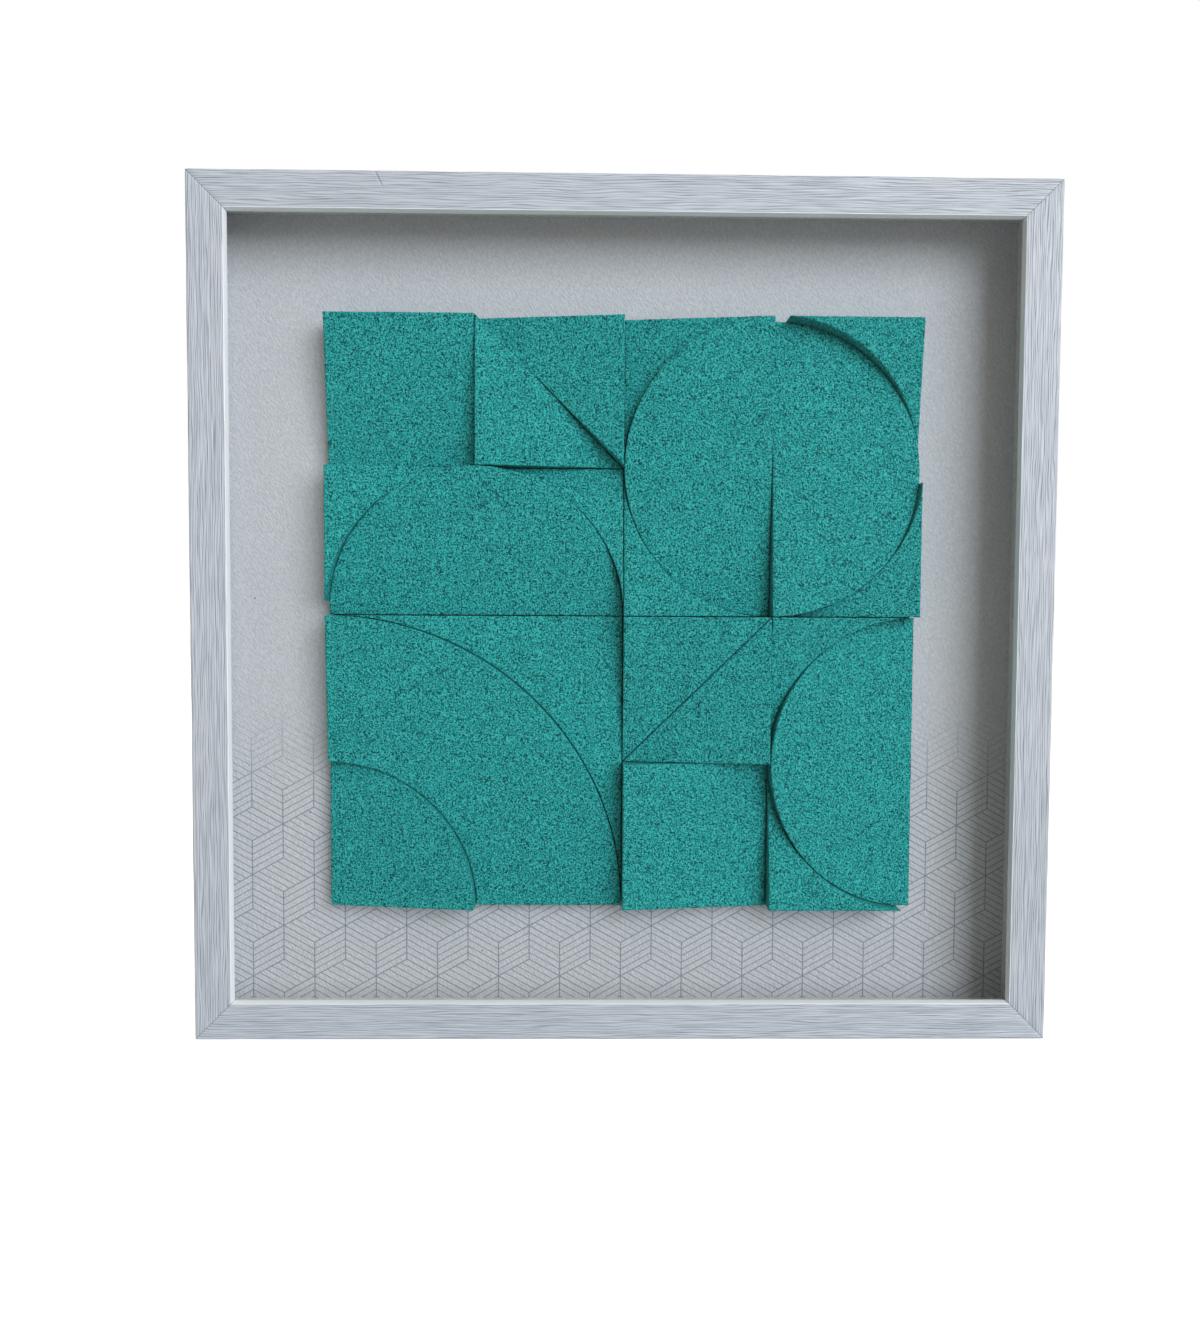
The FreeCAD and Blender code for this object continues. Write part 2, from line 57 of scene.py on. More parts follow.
# A wave texture of scale 1 repeats every tau / 20
WAVE_TURN = math.tau / 20
# Output and setting of a Mix node for colours
COLOUR_MIX = {"out": 2, "data_type": "RGBA"}

Array = np.ndarray
Material = bpy.types.Material
Piece = bpy.types.Object
Socket = bpy.types.NodeSocket
Tree = bpy.types.NodeTree
Adder = Callable[..., Socket | bpy.types.Node]
Pair = tuple[float, float]
Triple = tuple[float, float, float]


class Finish(Protocol):
    """What each finish class offers."""

    def make(self) -> Material:
        """Builds the material and returns it."""


# Nodes and materials


def linear(colour: str) -> tuple[float, float, float, float]:
    """Turns an sRGB hex colour into Blender's linear colour.

    Args:
        colour: Six hex digits after a hash sign.

    Returns:
        Red, green, blue and an alpha of 1.
    """
    parts = [int(colour[i : i + 2], 16) / 255 for i in (1, 3, 5)]
    turned = [p / 12.92 if p <= 0.04045 else ((p + 0.055) / 1.055) ** 2.4 for p in parts]
    return (*turned, 1.0)


def per_metre(spacing: float) -> float:
    """Returns the texture scale that repeats every so many millimetres."""
    return 1 / (spacing * MM)


def add_node(
    tree: Tree, kind: str, sockets: dict | None = None, out: int | str = 0, **settings: object
) -> Socket | bpy.types.Node:
    """Adds one node with its settings, values and links.

    Args:
        tree: The node tree that gets the node.
        kind: Blender's type name of the node, after its ShaderNode.
        sockets: Input names or numbers, with values or the sockets that feed them.
        out: Name or number of the output to return.
        **settings: Properties of the node itself.

    Returns:
        The output socket, or the node if it has none.
    """
    node = tree.nodes.new("ShaderNode" + kind)
    for name, value in settings.items():
        setattr(node, name, value)
    for key, value in (sockets or {}).items():
        if isinstance(value, Socket):
            tree.links.new(value, node.inputs[key])
        else:
            node.inputs[key].default_value = value
    return node.outputs[out] if node.outputs else node


def new_tree(name: str) -> tuple[Material, Adder]:
    """Makes a material with an empty node tree.

    Args:
        name: The material's name.

    Returns:
        The material, and add_node for its tree.
    """
    material = bpy.data.materials.new(name)
    material.use_nodes = True
    material.node_tree.nodes.clear()
    return material, partial(add_node, material.node_tree)


def close_tree(
    add: Adder, sockets: dict, height: Socket | None = None, relief: float = 0.0
) -> None:
    """Ends a tree with its shader, its fine relief and its output.

    Args:
        add: Adds a node.
        sockets: Values and links of the Principled shader.
        height: Socket with the fine relief from 0 to 1, if there is one.
        relief: Height of that relief in millimetres.
    """
    if height is not None:
        bump = add("Bump", {"Height": height, "Distance": relief * MM, "Strength": 1.0})
        sockets = {**sockets, "Normal": bump}
    add("OutputMaterial", {"Surface": add("BsdfPrincipled", sockets)})


def clouded(add: Adder, colour: Socket, noise: Socket, low: float, high: float) -> Socket:
    """Darkens and lightens a colour by a noise.

    Args:
        add: Adds a node.
        colour: Socket with the colour.
        noise: Socket with values from 0 to 1.
        low: Factor on the colour where the noise is 0.
        high: Factor on the colour where the noise is 1.

    Returns:
        A socket with the changed colour.
    """
    shade = add("MapRange", {"Value": noise, "To Min": low, "To Max": high})
    return add("Mix", {0: 1.0, 6: colour, 7: shade}, **COLOUR_MIX, blend_type="MULTIPLY")


@dataclass(frozen=True)
class WoodGrainFoil:
    """Decor foil with an embossed ash grain, wrapped round fibreboard.

    The eye sees a cool pale grey with slightly darker pores in long streaks, and a satin sheen.
    """

    pale: str = "#BFC8D5"
    pore: str = "#7C8796"
    seam: str = "#70757D"
    line_spacing: float = 1.12
    drift: float = 3.4
    streak: Pair = (16.0, 0.5)
    force: Pair = (19.0, 1.6)
    sway: Pair = (34.0, 4.2)
    patch: float = 50.0
    groove_tone: float = 0.22
    line_tone: float = 0.6
    seam_width: float = 0.25

    def make(self) -> Material:
        """Builds the material.

        Returns:
            The material.
        """
        material, add = new_tree("wood_grain_foil")
        place = add("Attribute", out="Vector", attribute_name="grain_place")
        groove = add("Attribute", out="Fac", attribute_name="groove")
        streak = self.stretched(add, place, self.streak)
        force = self.stretched(add, place, self.force)
        drift = self.stretched(add, place, self.sway)
        across = add("SeparateXYZ", {"Vector": place}, out=1)
        drift = add("Math", {0: drift, 1: self.drift}, operation="MULTIPLY")
        moved = add("Math", {0: across, 1: drift}, operation="ADD")
        turns = add("Math", {0: moved, 1: self.line_spacing}, operation="DIVIDE")
        gap = add("Math", {0: turns, 1: 0.5}, operation="PINGPONG")
        limits = {"From Min": 0.06, "From Max": 0.26, "To Min": 1.0, "To Max": 0.0}
        lines = add("MapRange", {"Value": gap, **limits})
        limits = {"From Min": 0.34, "From Max": 0.62, "To Min": 0.4, "To Max": 1.0}
        force = add("MapRange", {"Value": force, **limits})
        lines = add("Math", {0: lines, 1: force}, operation="MULTIPLY")
        cloud = add("TexNoise", {"Vector": place, "Scale": 1 / self.patch, "Detail": 2.0})
        limits = {"From Min": 0.45, "From Max": 0.7, "To Min": 0.0, "To Max": 0.3}
        pores = add("MapRange", {"Value": streak, **limits})
        inked = add("Math", {0: lines, 1: self.line_tone}, operation="MULTIPLY")
        pores = add("Math", {0: pores, 1: inked}, operation="ADD")
        dark = add("Math", {0: groove, 1: self.groove_tone}, operation="MULTIPLY")
        dark = add("Math", {0: dark, 1: pores}, operation="ADD", use_clamp=True)
        colour = add("Mix", {0: dark, 6: linear(self.pale), 7: linear(self.pore)}, **COLOUR_MIX)
        colour = clouded(add, colour, cloud, 0.94, 1.05)
        line = self.mitre_line(add)
        colour = add("Mix", {0: line, 6: colour, 7: linear(self.seam)}, **COLOUR_MIX)
        rough = add("MapRange", {"Value": streak, "To Min": 0.34, "To Max": 0.52})
        sunk = add("Math", {0: 1.0, 1: pores}, operation="SUBTRACT")
        close_tree(add, {"Base Color": colour, "Roughness": rough, "IOR": 1.5}, sunk, 0.2)
        return material

    @staticmethod
    def stretched(add: Adder, place: Socket, cell: Pair) -> Socket:
        """Adds a noise drawn out along the grain.

        Args:
            add: Adds a node.
            place: Socket with the place on the foil in mm.
            cell: Size of its cells along the grain and across it in mm.

        Returns:
            A socket with values round 0.5.
        """
        scale = (1 / cell[0], 1 / cell[1], 1.0)
        laid = add("Mapping", {"Vector": place, "Scale": scale})
        return add("TexNoise", {"Vector": laid, "Scale": 1.0, "Detail": 1.0})

    def mitre_line(self, add: Adder) -> Socket:
        """Draws the thin dark joint at the corners, where x and z are as far from the middle.

        Args:
            add: Adds a node.

        Returns:
            A socket that is 1 on the joint and 0 beside it.
        """
        place = add("TexCoord", out="Object")
        across = add("SeparateXYZ", {"Vector": place})
        upright = across.node.outputs[2]
        level = add("Math", {0: upright, 1: FRAME_HALF * MM}, operation="SUBTRACT")
        x, z = (add("Math", {0: place}, operation="ABSOLUTE") for place in (across, level))
        gap = add("Math", {0: x, 1: z}, operation="SUBTRACT")
        gap = add("Math", {0: gap}, operation="ABSOLUTE")
        half = self.seam_width * MM / 2 * math.sqrt(2)
        limits = {"From Min": half * 0.5, "From Max": half * 1.4, "To Min": 1.0, "To Max": 0.0}
        return add("MapRange", {"Value": gap, **limits})


@dataclass(frozen=True)
class SmoothLipFoil:
    """The same foil on the narrow bevel, pressed smooth: whiter, with a soft shine."""

    colour: str = "#E6EDF6"
    mottle: str = "#DCE4EE"
    stretch: Triple = (0.03, 1.2, 1.0)

    def make(self) -> Material:
        """Builds the material.

        Returns:
            The material.
        """
        material, add = new_tree("smooth_lip_foil")
        place = add("Attribute", out="Vector", attribute_name="grain_place")
        laid = add("Mapping", {"Vector": place, "Scale": self.stretch})
        noise = add("TexNoise", {"Vector": laid, "Scale": 1.0, "Detail": 2.0})
        mixed = {0: noise, 6: linear(self.colour), 7: linear(self.mottle)}
        colour = add("Mix", mixed, **COLOUR_MIX)
        rough = add("MapRange", {"Value": noise, "To Min": 0.3, "To Max": 0.42})
        close_tree(add, {"Base Color": colour, "Roughness": rough, "IOR": 1.5}, noise, 0.01)
        return material


class BoardKind(Enum):
    """The boards in the frame: colour, fleck colour, fibre spacing in mm, and roughness."""

    FIBREBOARD = ("raw_fibreboard", "#B79C7C", "#8E7457", 0.9, 0.86)
    CARRIER = ("brown_carrier_board", "#5A3A24", "#2E1B10", 1.4, 0.9)
    SPACER = ("painted_spacer_board", "#E2E4E4", "#CDD0D1", 1.1, 0.62)


@dataclass(frozen=True)
class PressedBoard:
    """Board of pressed fibres: matt, with short flecks and a faintly uneven face."""

    kind: BoardKind
    relief: float = 0.06

    def make(self) -> Material:
        """Builds the material.

        Returns:
            The material.
        """
        name, base, fleck, spacing, rough = self.kind.value
        material, add = new_tree(name)
        place = add("TexCoord", out="Object")
        fibres = {"Vector": place, "Scale": per_metre(spacing), "Detail": 4.0, "Roughness": 0.65}
        fine = add("TexNoise", fibres)
        cell = add("TexVoronoi", {"Vector": place, "Scale": per_metre(spacing * 3)})
        mark = add("MapRange", {"Value": fine, "From Min": 0.42, "From Max": 0.68})
        colour = add("Mix", {0: mark, 6: linear(base), 7: linear(fleck)}, **COLOUR_MIX)
        colour = clouded(add, colour, cell, 1.05, 0.85)
        close_tree(add, {"Base Color": colour, "Roughness": rough, "IOR": 1.48}, fine, self.relief)
        return material


@dataclass(frozen=True)
class ScreenedHardboard:
    """Brown hardboard with the print of the press's wire screen, drawn 2.4 mm apart.

    The real screen is about 1.6 mm, which is too fine to see.
    """

    base: str = "#8C6543"
    dark: str = "#5E4029"
    screen: float = 2.4
    fibre: float = 2.5

    def make(self) -> Material:
        """Builds the material.

        Returns:
            The material.
        """
        material, add = new_tree("screened_hardboard")
        place = add("TexCoord", out="Object")
        felt = {"Vector": place, "Scale": per_metre(self.fibre), "Detail": 5.0, "Roughness": 0.7}
        fibres = add("TexNoise", felt)
        scale = per_metre(self.screen) * WAVE_TURN
        wires = {"Vector": place, "Scale": scale, "Distortion": 0.6}
        across, up = (add("TexWave", wires, "Fac", bands_direction=way) for way in ("X", "Z"))
        mesh = add("Math", {0: across, 1: up}, operation="MULTIPLY")
        mixed = add("Math", {0: fibres, 1: mesh}, operation="ADD")
        dark = add("MapRange", {"Value": mixed, "From Min": 0.35, "From Max": 1.1})
        colour = add("Mix", {0: dark, 6: linear(self.dark), 7: linear(self.base)}, **COLOUR_MIX)
        close_tree(add, {"Base Color": colour, "Roughness": 0.78, "IOR": 1.48}, mixed, 0.12)
        return material


@dataclass(frozen=True)
class ZincPlatedSteel:
    """Bright zinc-plated steel, rolled and stamped: cool grey shine with fine drag lines."""

    bright: str = "#BABCBC"
    dull: str = "#929494"
    spangle: float = 2.2
    drag: Triple = (150.0, 1500.0, 2600.0)

    def make(self) -> Material:
        """Builds the material.

        Returns:
            The material.
        """
        material, add = new_tree("zinc_plated_steel")
        place = add("TexCoord", out="Object")
        laid = add("Mapping", {"Vector": place, "Scale": self.drag})
        drag = add("TexNoise", {"Vector": laid, "Scale": 1.0, "Detail": 2.0})
        bloom = add("TexVoronoi", {"Vector": place, "Scale": per_metre(self.spangle)}, "Distance")
        colour = add("Mix", {0: bloom, 6: linear(self.bright), 7: linear(self.dull)}, **COLOUR_MIX)
        rough = add("MapRange", {"Value": drag, "To Min": 0.24, "To Max": 0.46})
        close_tree(add, {"Base Color": colour, "Roughness": rough, "Metallic": 1.0}, drag, 0.006)
        return material


@dataclass(frozen=True)
class PictureGlass:
    """Clear picture glass with an anti-reflection coat: hardly seen, with a faint green body."""

    tint: str = "#33403C"
    smear: float = 60.0

    def make(self) -> Material:
        """Builds the material.

        Returns:
            The material.
        """
        material, add = new_tree("picture_glass")
        place = add("TexCoord", out="Object")
        smear = add("TexNoise", {"Vector": place, "Scale": per_metre(self.smear), "Detail": 2.0})
        rough = add("MapRange", {"Value": smear, "To Min": 0.02, "To Max": 0.07})
        clear = {"Roughness": rough, "IOR": 1.52, "Specular IOR Level": 0.08, "Alpha": 0.03}
        close_tree(add, {"Base Color": linear(self.tint), **clear})
        return material


@dataclass(frozen=True)
class PrintedLeatherPaper:
    """Off-white paper with an embossed leather grain and a printed tumbling-block hatch.

    The ink is grey-blue. It is full at the bottom of the sheet and fades out a third of the way up.
    """

    sheet: str = "#CDD3DD"
    valley_shade: str = "#BDC4CE"
    ink: str = "#6E7E8B"
    speck: str = "#6A6258"
    speck_spacing: float = 14.0
    speck_share: float = 0.2
    speck_size: float = 0.03
    grain_width: float = 0.75
    grain_length: float = 1.9
    grain_lean: float = -30.0
    strips: float = 5.0
    column: float = 15.22
    edge: float = 16.95
    column_start: float = -182.47
    row_start: float = 36.1
    outline: float = 0.48
    hatch_line: float = 0.44
    fade_low: float = 107.0
    fade_high: float = 162.0

    def make(self) -> Material:
        """Builds the material.

        Returns:
            The material.
        """
        material, add = new_tree("printed_leather_paper")
        place = add("TexCoord", out="Object")
        cell = (self.grain_width * MM, MM, self.grain_length * MM)
        lean = (0.0, math.radians(self.grain_lean), 0.0)
        turned = {"Vector": place, "Rotation": lean, "Scale": cell}
        laid = add("Mapping", turned, vector_type="TEXTURE")
        height = add("TexNoise", {"Vector": laid, "Scale": 1.0, "Detail": 1.0, "Distortion": 0.8})
        fine = add("TexNoise", {"Vector": place, "Scale": per_metre(1.0), "Detail": 3.0})
        # Painted shade: the emboss's hollows take the darker valley colour, from the same height as
        # the bump.
        hollow_shade = add("MapRange", {"Value": height, "From Min": 0.62, "From Max": 0.38})
        colour = add("Mix", {0: hollow_shade, 6: linear(self.sheet), 7: linear(self.valley_shade)}, **COLOUR_MIX)
        ink = self.ink_cover(add, place)
        rubbed = add("MapRange", {"Value": fine, "To Min": 0.6, "To Max": 1.0})
        ink = add("Math", {0: ink, 1: rubbed}, operation="MULTIPLY")
        colour = add("Mix", {0: ink, 6: colour, 7: linear(self.ink)}, **COLOUR_MIX)
        mixed = {0: self.specks(add, place), 6: colour, 7: linear(self.speck)}
        colour = add("Mix", mixed, **COLOUR_MIX)
        close_tree(add, {"Base Color": colour, "Roughness": 0.72, "IOR": 1.45}, height, 0.5)
        return material

    def specks(self, add: Adder, place: Socket) -> Socket:
        """Scatters a few tiny dark specks over the sheet.

        Args:
            add: Adds a node.
            place: Socket with the place on the object.

        Returns:
            A socket that is 1 on a speck.
        """
        apart = {"Vector": place, "Scale": per_metre(self.speck_spacing)}
        cells = add("TexVoronoi", apart, "Distance")
        lot = add("SeparateColor", {"Color": cells.node.outputs["Color"]}, out="Red")
        chosen = add("Math", {0: lot, 1: self.speck_share}, operation="LESS_THAN")
        dot = add("Math", {0: cells, 1: self.speck_size}, operation="LESS_THAN")
        return add("Math", {0: chosen, 1: dot}, operation="MULTIPLY")

    def ink_cover(self, add: Adder, place: Socket) -> Socket:
        """Draws the tumbling-block hatch from oblique coordinates.

        u counts columns. p is level along the rising lines and q along the falling ones. Each
        rhombus is hatched along p or q in five strips. A block's top rhombus has no upright.

        Args:
            add: Adds a node.
            place: Socket with the place on the object.

        Returns:
            A socket with the cover of ink from 0 to 1.
        """
        apart = add("SeparateXYZ", {"Vector": place})
        far = 9.0
        steps = (
            ("x", "SUBTRACT", "X", self.column_start * MM),
            ("u", "DIVIDE", "x", self.column * MM),
            ("z", "SUBTRACT", "Z", self.row_start * MM),
            ("rise", "DIVIDE", "z", self.edge * MM),
            ("half", "MULTIPLY", "u", 0.5),
            ("p", "SUBTRACT", "rise", "half"),
            ("q", "ADD", "rise", "half"),
            ("p_cell", "FLOOR", "p"),
            ("q_cell", "FLOOR", "q"),
            ("u_cell", "FLOOR", "u"),
            ("sum", "ADD", "p_cell", "q_cell"),
            ("top_kind", "FLOORED_MODULO", "sum", 3.0),
            ("top", "LESS_THAN", "top_kind", 0.5),
            ("slant", "SUBTRACT", "p_cell", "u_cell"),
            ("slant_up", "ADD", "slant", 1.0),
            ("slash_kind", "FLOORED_MODULO", "slant_up", 3.0),
            ("slash", "LESS_THAN", "slash_kind", 0.5),
            ("difference", "SUBTRACT", "p", "q"),
            ("turned", "MULTIPLY", "difference", "slash"),
            ("h", "ADD", "q", "turned"),
            ("h_part", "MULTIPLY", "h", self.strips),
            ("strip", "PINGPONG", "h_part", 0.5),
            ("strip_gap", "MULTIPLY", "strip", self.column / self.strips),
            ("h_line", "PINGPONG", "h", 0.5),
            ("p_line", "PINGPONG", "p", 0.5),
            ("u_line", "PINGPONG", "u", 0.5),
            ("not_top", "SUBTRACT", 1.0, "top"),
            ("p_far", "MULTIPLY", "not_top", far),
            ("u_far", "MULTIPLY", "top", far),
            ("p_gap", "ADD", "p_line", "p_far"),
            ("u_gap", "ADD", "u_line", "u_far"),
            ("side", "MINIMUM", "p_gap", "u_gap"),
            ("nearest", "MINIMUM", "h_line", "side"),
            ("outline_gap", "MULTIPLY", "nearest", self.column),
        )
        made = {"X": apart, "Z": apart.node.outputs[2]}
        for name, operation, *inputs in steps:
            sockets = {i: made.get(value, value) for i, value in enumerate(inputs)}
            made[name] = add("Math", sockets, operation=operation)
        covers = []
        lines = (("outline_gap", self.outline, 1.0), ("strip_gap", self.hatch_line, 0.9))
        for gap, width, strength in lines:
            limits = {"From Min": width * 0.3, "From Max": width * 0.8}
            cover = {"Value": made[gap], **limits, "To Min": strength, "To Max": 0.0}
            covers.append(add("MapRange", cover))
        cover = add("Math", {0: covers[0], 1: covers[1]}, operation="MAXIMUM")
        limits = {"From Min": self.fade_low * MM, "From Max": self.fade_high * MM}
        fade = {"Value": made["Z"], **limits, "To Min": 1.0, "To Max": 0.0}
        fade = add("MapRange", fade)
        return add("Math", {0: cover, 1: fade}, operation="MULTIPLY")


@dataclass(frozen=True)
class GranularCoat:
    """Thick teal paint full of grit, rolled on: matt, with painted shade in its pits and painted
    highlights on its crests.

    The grit is about 1.2 mm, which is 1.6 cells of the noise, and a finer grain lies over it.
    """

    body: str = "#17A0A2"
    pit_shade: str = "#053F42"
    crest_highlight: str = "#4ACBCC"
    grit: float = 0.74
    patch: float = 22.0
    relief: float = 1.1

    def make(self) -> Material:
        """Builds the material.

        Returns:
            The material.
        """
        material, add = new_tree("granular_teal_coat")
        place = add("TexCoord", out="Object")
        grains = {"Vector": place, "Scale": per_metre(self.grit), "Detail": 1.5}
        lump = add("TexNoise", {**grains, "Roughness": 0.6, "Distortion": 0.5})
        cloud = add("TexNoise", {"Vector": place, "Scale": per_metre(self.patch), "Detail": 2.0})
        # Painted shade darkens the pits and a painted highlight lightens the crests, both from the
        # lumps that also drive the bump.
        crest_highlight_limits = {"From Min": 0.5, "From Max": 0.63, "To Min": 0.0, "To Max": 0.85}
        pit_shade_limits = {"From Min": 0.36, "From Max": 0.5, "To Min": 1.0, "To Max": 0.0}
        colour = linear(self.body)
        for tint, limits in ((self.crest_highlight, crest_highlight_limits), (self.pit_shade, pit_shade_limits)):
            share = add("MapRange", {"Value": lump, **limits})
            colour = add("Mix", {0: share, 6: colour, 7: linear(tint)}, **COLOUR_MIX)
        colour = clouded(add, colour, cloud, 0.92, 1.08)
        surface = {"Base Color": colour, "Roughness": 0.8, "IOR": 1.5, "Specular IOR Level": 0.25}
        close_tree(add, surface, lump, self.relief)
        return material


# Meshes


def cell_noise(seed: int, u: Array, v: Array) -> Array:
    """Smooth seeded noise over a plane.

    Args:
        seed: Picks the pattern.
        u: First coordinates, one cell a unit.
        v: Second coordinates, one cell a unit.

    Returns:
        Values from 0 to 1, one for each pair of coordinates.
    """
    table = np.random.default_rng(seed).random((256, 256))
    i, j = np.floor(u).astype(int), np.floor(v).astype(int)
    a, b = u - i, v - j
    a, b = a * a * (3 - 2 * a), b * b * (3 - 2 * b)
    low_i, high_i, low_j, high_j = i % 256, (i + 1) % 256, j % 256, (j + 1) % 256
    low = table[low_i, low_j] * (1 - a) + table[high_i, low_j] * a
    high = table[low_i, high_j] * (1 - a) + table[high_i, high_j] * a
    return low * (1 - b) + high * b


def step_between(values: Array, low: float, high: float) -> Array:
    """Returns 0 under low, 1 over high, and a smooth rise between."""
    part = np.clip((values - low) / (high - low), 0.0, 1.0)
    return part * part * (3 - 2 * part)


def put_in(name: str, data: bpy.types.ID) -> Piece:
    """Puts a new object into the scene.

    Args:
        name: The object's name.
        data: Its mesh, lamp or camera.

    Returns:
        The object.
    """
    piece = bpy.data.objects.new(name, data)
    bpy.context.scene.collection.objects.link(piece)
    return piece


def new_piece(name: str, points: Array, faces: list, sharp: float = 35.0) -> Piece:
    """Makes a closed mesh piece from points in millimetres.

    Args:
        name: The piece's name.
        points: One row of x, y, z for each point.
        faces: Lists of point numbers.
        sharp: Angle in degrees past which an edge stays sharp.

    Returns:
        The new object, linked to the scene.
    """
    mesh = bpy.data.meshes.new(name)
    mesh.from_pydata((points * MM).tolist(), [], faces)
    shape = bmesh.new()
    shape.from_mesh(mesh)
    bmesh.ops.recalc_face_normals(shape, faces=shape.faces)
    shape.to_mesh(mesh)
    shape.free()
    mesh.shade_smooth()
    mesh.set_sharp_from_angle(angle=math.radians(sharp))
    return put_in(name, mesh)


def store(mesh: bpy.types.Mesh, name: str, values: Array) -> None:
    """Keeps a number or a vector for each point of a mesh.

    Args:
        mesh: The mesh.
        name: The attribute's name.
        values: One value or one row of three for each point.
    """
    kind, key = ("FLOAT", "value") if values.ndim == 1 else ("FLOAT_VECTOR", "vector")
    attribute = mesh.attributes.new(name, kind, "POINT")
    attribute.data.foreach_set(key, values.astype(np.float32).ravel())


class Side(Enum):
    """The four sides of the frame: where the rail's middle is, its long way and its inward way."""

    BOTTOM = ((0.0, 0.0), (1.0, 0.0), (0.0, 1.0))
    RIGHT = ((FRAME_HALF, FRAME_HALF), (0.0, 1.0), (-1.0, 0.0))
    TOP = ((0.0, FRAME_SIDE), (-1.0, 0.0), (0.0, -1.0))
    LEFT = ((-FRAME_HALF, FRAME_HALF), (0.0, -1.0), (1.0, 0.0))


class Skin(IntEnum):
    """What covers a face of a rail, in the order of the rail's materials."""

    GRAINED = 0
    SMOOTH = 1
    BARE = 2


